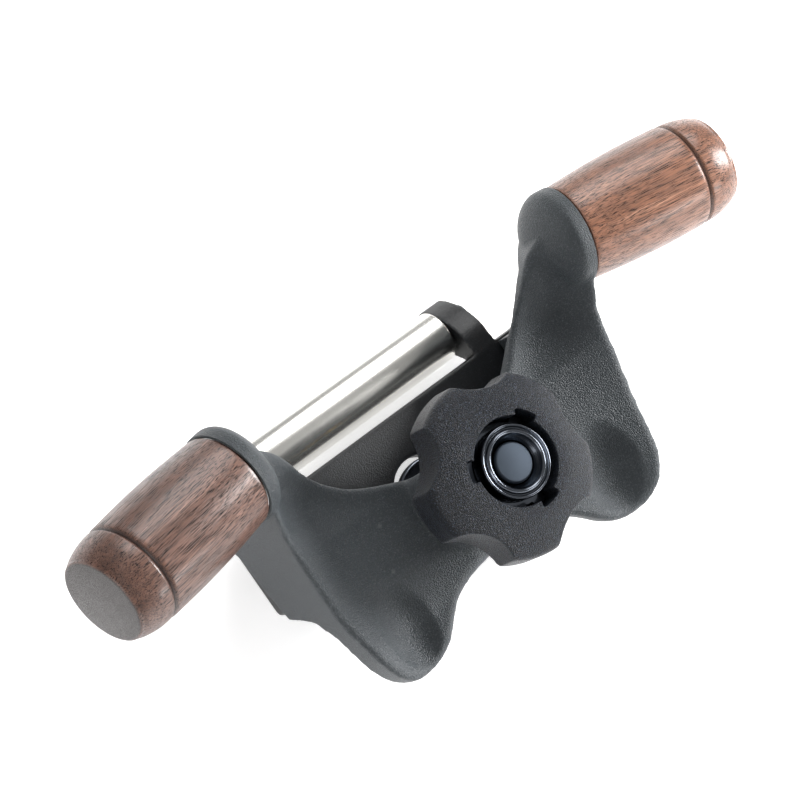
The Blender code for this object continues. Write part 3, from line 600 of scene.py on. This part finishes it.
def moulded_finish(name, base, cloudy, glint_colour, grain_size, bump, rough, edge_highlight_colour):
    """Textured moulding: dark base, cloudy tone, painted glints on the grain tops, and painted highlights
    on convex edges.
    """
    finish, tree, shader = new_finish(name, base, rough[0])
    place = node(tree, "TexCoord")
    texture = use_group(tree, spark, Grain_Size=grain_size)
    tree.links.new(place.outputs["Object"], texture.inputs["Place"])
    tone = mix(tree, (texture, "Cloud"), base, cloudy)
    # Painted glints: the grain tops are mixed towards a brighter colour.
    glinted = mix(tree, (texture, "Painted Glints"), (tone, 2), glint_colour)
    edges = use_group(tree, edge_highlight_group)
    # Painted edge highlights: convex edges are mixed towards a lighter colour.
    edge_highlighted = mix(tree, (edges, "Mask"), (glinted, 2), edge_highlight_colour)
    tree.links.new(edge_highlighted.outputs[2], shader.inputs["Base Color"])
    gloss = node(tree, "MapRange", [("Value", texture, "Cloud")],
                 in_To_Min=rough[0], in_To_Max=rough[1])
    tree.links.new(gloss.outputs["Result"], shader.inputs["Roughness"])
    relief = node(tree, "Bump", [("Height", texture, "Height")],
                  in_Strength=min(bump, 1.0), in_Distance=GRAIN_HEIGHT * max(bump, 1.0))
    tree.links.new(relief.outputs["Normal"], shader.inputs["Normal"])
    return finish


# Yoke colours: base, cloud, painted glints on the grain tops, and painted highlights on convex edges.
yoke_finish = moulded_finish("yoke_nylon", (0.028, 0.034, 0.039), (0.042, 0.050, 0.056),
                             (0.080, 0.093, 0.103), 2700.0, 0.6, (0.40, 0.50), (0.078, 0.090, 0.096))
yoke.data.materials.clear()
yoke.data.materials.append(yoke_finish)
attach(yoke, "yoke_body")
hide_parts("yoke")


# ------------------------------------------------------------------ bed plate and its screws
# A flat moulded plate behind the yoke with a round window. Two horned arms at its upper edge
# carry the roller, and four countersunk steel screws hold it to the yoke's posts.
BED_FRONT, BED_BACK = -30.0, -35.0
BED_TOP, BED_SHOULDER, BED_FOOT = -4.8, -29.5, -38.5
BED_HALF_WIDTH = 52.0
BED_CORNER, TONGUE_CORNER = 2.0, 4.0
TONGUE_HALF_WIDTH = 22.0
WINDOW_CENTRE, WINDOW_RADIUS = -25.4, 9.3
ARM_INNER, ARM_OUTER = 33.6, 40.8
AXLE_PLACE = (4.3, -39.7)
ARM_EYE_RADIUS = 2.3
SINK_RADIUS = 3.9


def arc(centre, radius, start, stop, steps):
    """Flat points on an arc between two angles in degrees."""
    angles = [math.radians(start + (stop - start) * i / steps) for i in range(steps + 1)]
    return [(centre[0] + radius * math.cos(a), centre[1] + radius * math.sin(a)) for a in angles]


bed_right = arc((BED_HALF_WIDTH - BED_CORNER, BED_TOP - BED_CORNER), BED_CORNER, 90, 0, 8)
bed_right += arc((BED_HALF_WIDTH - BED_CORNER, BED_SHOULDER + BED_CORNER), BED_CORNER, 0, -90, 8)
bed_right += arc((TONGUE_HALF_WIDTH + TONGUE_CORNER, BED_SHOULDER - TONGUE_CORNER), TONGUE_CORNER,
                 90, 180, 8)
bed_right += arc((TONGUE_HALF_WIDTH - TONGUE_CORNER, BED_FOOT + TONGUE_CORNER), TONGUE_CORNER,
                 0, -90, 8)
bed_left = [(-x, y) for x, y in reversed(bed_right)]
bed = from_outline("bed_moulding", bed_right + bed_left, BED_BACK, BED_FRONT)
horn = smooth_through([(-4.3, -30.1), (0.9, -30.7), (4.2, -32.4), (7.1, -34.7), (9.5, -38.0),
                       (11.1, -41.2), (11.5, -43.0), (10.9, -44.6), (9.3, -45.5)], 4)
arm_side = [(-14.0, -34.0), (-14.0, -30.6), (-8.0, -30.4)] + horn
arm_side += arc(AXLE_PLACE, 6.5, -62, -175, 16) + [(-4.8, -36.5), (-14.0, -36.5)]
for side in (-1, 1):
    low, high = sorted((side * ARM_INNER, side * ARM_OUTER))
    combine(bed, from_outline("arm", arm_side, low, high, along_x=True), "UNION")
window = rod("window", WINDOW_RADIUS, -40.0, -25.0, 96)
moved(window, 0.0, WINDOW_CENTRE)
combine(bed, window, "DIFFERENCE")
soften(bed, 0.42, 4)
eye = rod("axle_eye", ARM_EYE_RADIUS, -60.0, 60.0, 48)
laid_along_x(eye, (0, *AXLE_PLACE))
combine(bed, eye, "DIFFERENCE")
for side in (-1, 1):
    for place in POST_PLACES:
        sink_profile = [(0, BED_BACK - 1), (SINK_RADIUS, BED_BACK - 1), (SINK_RADIUS, BED_BACK + 0.4),
                        (POST_HOLE_RADIUS, BED_BACK + 2.3), (POST_HOLE_RADIUS, BED_FRONT + 1),
                        (0, BED_FRONT + 1)]
        sink = turned("countersink", sink_profile, 48)
        moved(sink, side * POST_X, place)
        combine(bed, sink, "DIFFERENCE")
pick(bed)
bpy.ops.object.shade_smooth_by_angle(angle=math.radians(40))
upright(bed)
bed.data.materials.clear()
# Bed colours: base, cloud, painted glints on the grain tops, and painted highlights on convex edges.
bed.data.materials.append(moulded_finish(
    "bed_nylon", (0.005, 0.006, 0.007), (0.008, 0.009, 0.011), (0.018, 0.021, 0.024),
    2400.0, 0.20, (0.36, 0.46), (0.040, 0.044, 0.048)))
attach(bed, "yoke_body")
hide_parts("bed_plate")


def turned_metal(name, colour, rough, mark_size=900.0, tint=0.12):
    """Lathe-cut metal: fine tool marks in tone and relief, and slightly uneven gloss."""
    finish, tree, shader = new_finish(name, colour, rough, 1.0)
    place = node(tree, "TexCoord")
    marks = node(tree, "TexNoise", [("Vector", place, "Object")], in_Scale=mark_size, in_Detail=2.0)
    smudge = node(tree, "TexNoise", [("Vector", place, "Object")], in_Scale=90.0, in_Detail=5.0)
    shade = tuple(c * (1 - tint) for c in colour)
    tone = mix(tree, (marks, "Fac"), colour, shade)
    tree.links.new(tone.outputs[2], shader.inputs["Base Color"])
    gloss = node(tree, "MapRange", [("Value", smudge, "Fac")],
                 in_To_Min=rough * 0.7, in_To_Max=rough * 1.4)
    tree.links.new(gloss.outputs["Result"], shader.inputs["Roughness"])
    relief = node(tree, "Bump", [("Height", marks, "Fac")], in_Strength=0.12, in_Distance=0.00005)
    tree.links.new(relief.outputs["Normal"], shader.inputs["Normal"])
    return finish


bright_steel = turned_metal("bright_steel", (0.60, 0.60, 0.60), 0.22)
black_steel = turned_metal("black_oxide_steel", (0.15, 0.165, 0.19), 0.14, 700.0, 0.25)
screw_number = 0
for side in (-1, 1):
    for place in POST_PLACES:
        screw_number += 1
        head = BED_BACK + 0.3
        profile = rounded([(0, head + 1.4), (1.5, head + 1.4), (1.5, head), (3.55, head),
                           (3.6, head + 0.25), (1.9, head + 2.1), (1.9, -22.0), (1.3, -21.4),
                           (0, -21.4)], 0.12, 3)
        screw = turned(f"bed_screw_head_{screw_number}", profile, 48)
        hexagon = rod("hex_socket", 1.72, head - 1.0, head + 1.3, 6)
        combine(screw, hexagon, "DIFFERENCE")
        moved(screw, side * POST_X, place)
        upright(screw)
        screw.data.materials.clear()
        screw.data.materials.append(bright_steel)
        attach(screw, "yoke_body")
        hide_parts(f"bed_screw_{screw_number}")


# ------------------------------------------------------------------ roller and axle
# A chromed steel tube that turns on a fixed axle in two bronze bushes. The axle's ends stand out
# of the arms and carry a clip each.
ROLLER_RADIUS, ROLLER_HALF = 7.0, 32.9
ROLLER_BORE, ROLLER_CHAMFER = 4.4, 0.5
BUSH_SPAN = (33.2, 22.9)
CLIP_SPAN = (41.1, 42.1)

chrome, chrome_tree, chrome_shader = new_finish("chrome", (0.80, 0.79, 0.76), 0.2, 1.0)
chrome_place = node(chrome_tree, "TexCoord")
chrome_stretch = node(chrome_tree, "Mapping", [("Vector", chrome_place, "Object")],
                      in_Scale=(6.0, 1.0, 1.0))
chrome_smears = node(chrome_tree, "TexNoise", [("Vector", chrome_stretch, "Vector")],
                     in_Scale=120.0, in_Detail=4.0)
chrome_gloss = node(chrome_tree, "MapRange", [("Value", chrome_smears, "Fac")],
                    in_To_Min=0.20, in_To_Max=0.30)
chrome_tree.links.new(chrome_gloss.outputs["Result"], chrome_shader.inputs["Roughness"])
chrome_tone = mix(chrome_tree, (chrome_smears, "Fac"), (0.86, 0.85, 0.81), (0.77, 0.755, 0.71))
chrome_tree.links.new(chrome_tone.outputs[2], chrome_shader.inputs["Base Color"])

roller_half = [(ROLLER_RADIUS, ROLLER_HALF - ROLLER_CHAMFER),
               (ROLLER_RADIUS - ROLLER_CHAMFER, ROLLER_HALF), (ROLLER_BORE, ROLLER_HALF)]
roller_profile = [(radius, -reach) for radius, reach in reversed(roller_half)] + roller_half
roller = turned("roller_tube", rounded(roller_profile, 0.2, 3), 160)
laid_along_x(roller, (0, *AXLE_PLACE))
upright(roller)
roller.data.materials.append(chrome)
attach(roller, "roller_body")
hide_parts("roller")

bronze = turned_metal("sintered_bronze", (0.42, 0.26, 0.12), 0.42, 2500.0, 0.35)
axle_profile = [(0, -42.4), (1.7, -42.4), (2.0, -42.1), (2.0, 42.1), (1.7, 42.4), (0, 42.4)]
axle = turned("roller_axle_pin", rounded(axle_profile, 0.1, 2), 64)
laid_along_x(axle, (0, *AXLE_PLACE))
upright(axle)
axle.data.materials.append(bright_steel)
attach(axle, "yoke_body")
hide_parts("roller_axle")
for side, name in ((-1, "left"), (1, "right")):
    low, high = sorted(side * edge for edge in BUSH_SPAN)
    bush_profile = [(2.3, low), (4.0, low), (4.1, low + 0.1), (4.1, high - 0.1), (4.0, high), (2.3, high)]
    bush = turned(f"roller_bush_ring_{name}", rounded(bush_profile, 0.08, 2), 64)
    low, high = sorted(side * edge for edge in CLIP_SPAN)
    clip_profile = [(2.3, low), (4.0, low), (4.0, high), (2.3, high)]
    clip = turned(f"axle_clip_ring_{name}", rounded(clip_profile, 0.2, 3), 64)
    slit = block("slit", (-0.5, -5.0, low - 1), (0.5, 0.0, high + 1))
    combine(clip, slit, "DIFFERENCE")
    for piece, finish, node_name, body, slot_name in (
            (bush, bronze, f"roller_bush_{name}", "roller_body", "bronze"),
            (clip, black_steel, f"axle_clip_{name}", "yoke_body", "dark_steel")):
        laid_along_x(piece, (0, *AXLE_PLACE))
        upright(piece)
        piece.data.materials.clear()
        piece.data.materials.append(finish)
        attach(piece, body)
        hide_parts(node_name)


# ------------------------------------------------------------------ grips
# Turned walnut with open pores and a satin coat, cut with one V near its end, and drawn against
# the hub by a stud that screws into a brass insert. A thin steel washer sits between.
GROOVE_AT = 35.9
GROOVE_HALF = 0.75
GRIP_END = 46.2


def stretched(tree, centred, share):
    """The grip's own place, squeezed along the grain so that a pattern runs long."""
    return node(tree, "Mapping", [("Vector", centred, "Vector")], in_Scale=(1.0, 1.0, share))


def walnut_grain(tree, centred, light, mid, dark):
    """The wood's colour along the grain, with its figure, fibre and pore patterns."""
    broad = stretched(tree, centred, 0.12)
    figure = node(tree, "TexNoise", [("Vector", broad, "Vector")], in_Scale=210.0, in_Detail=5.0,
                  in_Roughness=0.66, in_Distortion=0.35)
    rings = node(tree, "TexWave", [("Vector", broad, "Vector")], bands_direction="X",
                 in_Scale=95.0, in_Distortion=7.0, in_Detail=3.0)
    fibres = node(tree, "TexNoise", [("Vector", stretched(tree, centred, 0.045), "Vector")],
                  in_Scale=3600.0, in_Detail=2.0)
    pores = node(tree, "TexNoise", [("Vector", stretched(tree, centred, 0.024), "Vector")],
                 in_Scale=6800.0, in_Detail=2.0, in_Roughness=0.55)
    fibre_mask = ramp(tree, fibres, "Fac", [(0.40, 0.0), (0.66, 0.9)])
    pore_mask = ramp(tree, pores, "Fac", [(0.545, 0.0), (0.595, 1.0)])
    body = ramp(tree, figure, "Fac", [(0.34, dark), (0.50, mid), (0.66, light)])
    banded = mix(tree, (rings, "Fac"), (body, "Color"), mid)
    streaked = mix(tree, (fibre_mask, "Color"), (banded, 2), tuple(c * 0.50 for c in mid))
    pored = mix(tree, (pore_mask, "Color"), (streaked, 2), tuple(c * 0.12 for c in dark))
    return pored, figure, fibres, fibre_mask, pore_mask


def grip_masks(tree, centred):
    """Masks for a grip's sawn end face and for the shade down in its V cut."""
    split = node(tree, "SeparateXYZ", [("Vector", centred, "Vector")])
    end_face = node(tree, "MapRange", [("Value", split, "Z")],
                    in_From_Min=(GRIP_END - 0.25) * MM, in_From_Max=(GRIP_END - 0.05) * MM)
    groove_off = node(tree, "Math", [(0, split, "Z")], operation="SUBTRACT")
    groove_off.inputs[1].default_value = GROOVE_AT * MM
    groove_gap = node(tree, "Math", [(0, groove_off, 0)], operation="ABSOLUTE")
    groove_shade = node(tree, "MapRange", [("Value", groove_gap, 0)], in_From_Min=0.0,
                        in_From_Max=GROOVE_HALF * MM, in_To_Min=0.85, in_To_Max=0.0)
    return end_face, groove_shade


def walnut(name, side, light, mid, dark, end_grain):
    """Walnut along one grip: long figure, short dark pores, glossy crests and a dull end face."""
    finish, tree, shader = new_finish(name, mid, 0.4)
    shader.inputs["Coat Weight"].default_value = 0.50
    shader.inputs["Coat Roughness"].default_value = 0.24
    place = node(tree, "TexCoord")
    lie = (stance @ grip_matrix(side)).inverted()
    centred = node(tree, "Mapping", [("Vector", place, "Object")],
                   in_Rotation=lie.to_euler("XYZ"), in_Location=lie.translation)
    pored, figure, fibres, fibre_mask, pore_mask = walnut_grain(tree, centred, light, mid, dark)
    end_face, groove_shade = grip_masks(tree, centred)
    grooved = mix(tree, (groove_shade, "Result"), (pored, 2), tuple(c * 0.25 for c in dark))
    end_tone = mix(tree, (fibre_mask, "Color"), end_grain, tuple(c * 0.70 for c in end_grain))
    ended = mix(tree, (end_face, "Result"), (grooved, 2), (end_tone, 2))
    tree.links.new(ended.outputs[2], shader.inputs["Base Color"])
    gloss = node(tree, "MapRange", [("Value", figure, "Fac")], in_To_Min=0.26, in_To_Max=0.52)
    dull = node(tree, "Math", [(0, gloss, "Result"), (1, pore_mask, "Color")], operation="MAXIMUM")
    tree.links.new(dull.outputs[0], shader.inputs["Roughness"])
    raised = node(tree, "Math", [(0, fibres, "Fac")], operation="MULTIPLY")
    raised.inputs[1].default_value = 0.35
    sunk = node(tree, "Math", [(0, raised, 0), (1, pore_mask, "Color")], operation="SUBTRACT")
    relief = node(tree, "Bump", [("Height", sunk, 0)], in_Strength=0.80, in_Distance=GRAIN_HEIGHT)
    tree.links.new(relief.outputs["Normal"], shader.inputs["Normal"])
    return finish


grip_wood = {
    "left": walnut("walnut_left", -1, (0.31, 0.160, 0.115), (0.175, 0.078, 0.050), (0.080, 0.034, 0.022),
                   (0.047, 0.036, 0.034)),
    "right": walnut("walnut_right", 1, (0.50, 0.240, 0.145), (0.320, 0.132, 0.070), (0.140, 0.056, 0.031),
                    (0.060, 0.045, 0.040)),
}
brass = turned_metal("brass", (0.72, 0.50, 0.20), 0.28)
wood_outside = smooth_through([(13.0, 0.6), (13.4, 6.0), (13.85, 13.0), (14.1, 20.0), (14.15, 27.0),
                               (14.0, GROOVE_AT - 1.0)], 5)
wood_tip = smooth_through([(13.85, GROOVE_AT + 0.9), (13.7, GROOVE_AT + 3.6), (13.1, GROOVE_AT + 6.4),
                           (12.5, GROOVE_AT + 8.2), (11.9, GROOVE_AT + 9.2)], 5)
for side, name in ((-1, "left"), (1, "right")):
    profile = [(0, 17.6), (5.0, 17.6), (5.0, 0.0), (12.5, 0.0), (12.85, 0.15)] + wood_outside
    profile += [(13.85, GROOVE_AT - 0.6), (13.25, GROOVE_AT), (13.7, GROOVE_AT + 0.6)] + wood_tip
    profile += [(11.75, GRIP_END - 0.45), (11.4, GRIP_END - 0.12), (10.9, GRIP_END), (0, GRIP_END)]
    wood = turned(f"grip_{name}", profile, 160)
    washer_profile = [(3.3, -1.3), (12.3, -1.3), (12.3, -0.55), (3.3, -0.55)]
    washer = turned(f"grip_washer_{name}", rounded(washer_profile, 0.2, 3), 128)
    insert_profile = [(3.3, 0.3), (4.7, 0.3), (4.7, 17.0), (3.3, 17.0)]
    insert = turned(f"grip_insert_{name}", rounded(insert_profile, 0.15, 2), 64)
    stud_profile = [(0, -5.6), (2.6, -5.6), (3.0, -5.2), (3.0, 15.6), (2.6, 16.0), (0, 16.0)]
    stud = turned(f"grip_stud_{name}", rounded(stud_profile, 0.1, 2), 64)
    for piece, finish, node_name, slot_name in (
            (wood, grip_wood[name], f"handle_{name}", "walnut"),
            (washer, bright_steel, f"handle_washer_{name}", "bright_steel"),
            (insert, brass, f"handle_insert_{name}", "brass"),
            (stud, bright_steel, f"handle_stud_{name}", "bright_steel")):
        upright(piece, grip_matrix(side))
        piece.data.materials.append(finish)
        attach(piece, "yoke_body")
        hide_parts(node_name)


# ------------------------------------------------------------------ knob
# A stippled moulded hand knob with five lobes and smooth scooped flutes between them. Three
# notches in its recess take the lugs of a black steel driver, which turns the screw.
KNOB_RADIUS = 23.6
KNOB_LOBES = 5
FLUTE_RADIUS, FLUTE_CENTRE = 13.65, 33.2
RECESS_RADIUS, RECESS_FLOOR = 11.4, 10.0
NOTCH_RADIUS = 13.2
NOTCH_ANGLES = (40.0, 160.0, 280.0)
NOTCH_HALF = 13.0
DRIVER_STEPS = 180
DRIVER_GAP = 0.5
LUG_GAP = 3.0

knob_face = smooth_through([(KNOB_RADIUS, 11.6), (22.6, 13.2), (18.5, 15.4), (14.5, 17.0),
                            (RECESS_RADIUS, 17.5)], 8)
knob = turned("knob_moulding", [(5.0, 3.2), (KNOB_RADIUS - 0.8, 3.2), (KNOB_RADIUS, 4.0)] + knob_face
              + [(RECESS_RADIUS, RECESS_FLOOR), (5.0, RECESS_FLOOR)], 180)
for k in range(KNOB_LOBES):
    turn = 2 * math.pi * k / KNOB_LOBES
    flute = rod("flute", FLUTE_RADIUS, -5.0, 25.0, 128)
    moved(flute, FLUTE_CENTRE * math.cos(turn), FLUTE_CENTRE * math.sin(turn))
    combine(knob, flute, "DIFFERENCE")
for angle in NOTCH_ANGLES:
    wedge = [(0.0, 0.0)] + arc((0, 0), NOTCH_RADIUS, angle - NOTCH_HALF, angle + NOTCH_HALF, 12)
    combine(knob, from_outline("notch", wedge, RECESS_FLOOR, 25.0), "DIFFERENCE")
soften(knob, 0.30, 4)
pick(knob)
bpy.ops.object.shade_smooth()
knob.data.transform(Matrix.Translation((0, KNOB_AXIS_Y, 0)))
upright(knob)
knob.data.materials.clear()
# Knob colours: base, cloud, painted bluish glints on the grain tops, and painted highlights on convex
# edges.
knob_finish = moulded_finish(
    "knob_nylon", (0.002, 0.003, 0.005), (0.004, 0.005, 0.008), (0.052, 0.068, 0.100), 3200.0, 1.0,
    (0.30, 0.38), (0.035, 0.040, 0.050))
knob_finish.node_tree.nodes["Principled BSDF"].inputs["Specular IOR Level"].default_value = 0.30
knob.data.materials.append(knob_finish)
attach(knob, "knob_body")
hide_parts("knob")

lugged = []
for k in range(DRIVER_STEPS):
    angle = 360.0 * k / DRIVER_STEPS
    near = min(abs((angle - notch + 180) % 360 - 180) for notch in NOTCH_ANGLES)
    reach = (NOTCH_RADIUS if near < NOTCH_HALF - LUG_GAP else RECESS_RADIUS) - DRIVER_GAP
    lugged.append((reach * math.cos(math.radians(angle)), reach * math.sin(math.radians(angle))))
driver = from_outline("knob_driver", lugged, RECESS_FLOOR + 0.3, RECESS_FLOOR + 2.2)
combine(driver, rod("driver_bore", 4.3, 5.0, 20.0, 64), "DIFFERENCE")
apply_modifier(driver, "BEVEL", width=0.0002, segments=2, limit_method="ANGLE",
               angle_limit=math.radians(40))
pick(driver)
bpy.ops.object.shade_smooth_by_angle(angle=math.radians(30))

shank = [(0, -29.3), (3.0, -29.3), (3.0, -29.0), (2.4, -29.0), (2.4, -27.6), (3.0, -27.6), (3.0, -24.7),
         (4.0, -24.7), (4.0, 12.5)]
screw_rim = rounded([(4.0, 12.5), (9.5, 12.5), (9.5, 16.9), (9.2, 17.45), (8.75, 17.4), (8.5, 16.8),
                     (8.2, 16.8), (8.0, 17.5), (7.5, 17.95), (7.0, 17.6), (6.7, 16.8), (5.9, 15.6),
                     (5.5, 15.2), (5.5, 14.0), (0, 14.0)], 0.40, 6)
screw = turned("clamp_spindle", shank + screw_rim[1:], 144)
button_profile = [(0, 14.3), (4.9, 14.3), (5.25, 14.7), (5.25, 15.6), (4.85, 16.1), (0, 16.25)]
button = turned("screw_button", rounded(button_profile, 0.3, 6), 128)
button_finish = turned_metal("button_steel", (0.064, 0.078, 0.098), 0.42, 500.0, 0.10)
for piece, finish, node_name, slot_name in (
        (driver, black_steel, "knob_insert", "dark_steel"),
        (screw, black_steel, "clamp_screw", "dark_steel"),
        (button, button_finish, "screw_cap", "screw_cap")):
    piece.data.transform(Matrix.Translation((0, KNOB_AXIS_Y, 0)))
    upright(piece)
    piece.data.materials.clear()
    piece.data.materials.append(finish)
    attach(piece, "knob_body")
    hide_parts(node_name)


# ------------------------------------------------------------------ bush and pressure pad
# The screw turns in a brass bush in the yoke's boss. On its end it carries a round black pad,
# held by a clip, which slides down onto the blade without turning.
bush_profile = [(4.3, -15.2), (6.5, -15.2), (6.5, 2.1), (4.3, 2.1)]
bush = turned("boss_bush", rounded(bush_profile, 0.25, 3), 96)
pad_profile = [(3.3, -27.6), (6.5, -27.6), (6.5, -29.6), (10.7, -29.6), (11.1, -29.2), (11.1, -27.2),
               (10.7, -26.8), (6.6, -26.8), (6.6, -25.0), (3.3, -25.0)]
pad = turned("clamp_pad", rounded(pad_profile, 0.15, 3), 128)
clip_profile = [(2.7, -28.7), (5.6, -28.7), (5.6, -27.9), (2.7, -27.9)]
pad_clip = turned("pad_clip_ring", rounded(clip_profile, 0.15, 3), 64)
for piece, finish, node_name, body, slot_name in (
        (bush, brass, "threaded_bush", "yoke_body", "brass"),
        (pad, black_steel, "pressure_pad", "pad_body", "dark_steel"),
        (pad_clip, bright_steel, "pad_clip", "knob_body", "bright_steel")):
    piece.data.transform(Matrix.Translation((0, KNOB_AXIS_Y, 0)))
    upright(piece)
    piece.data.materials.append(finish)
    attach(piece, body)
    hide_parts(node_name)
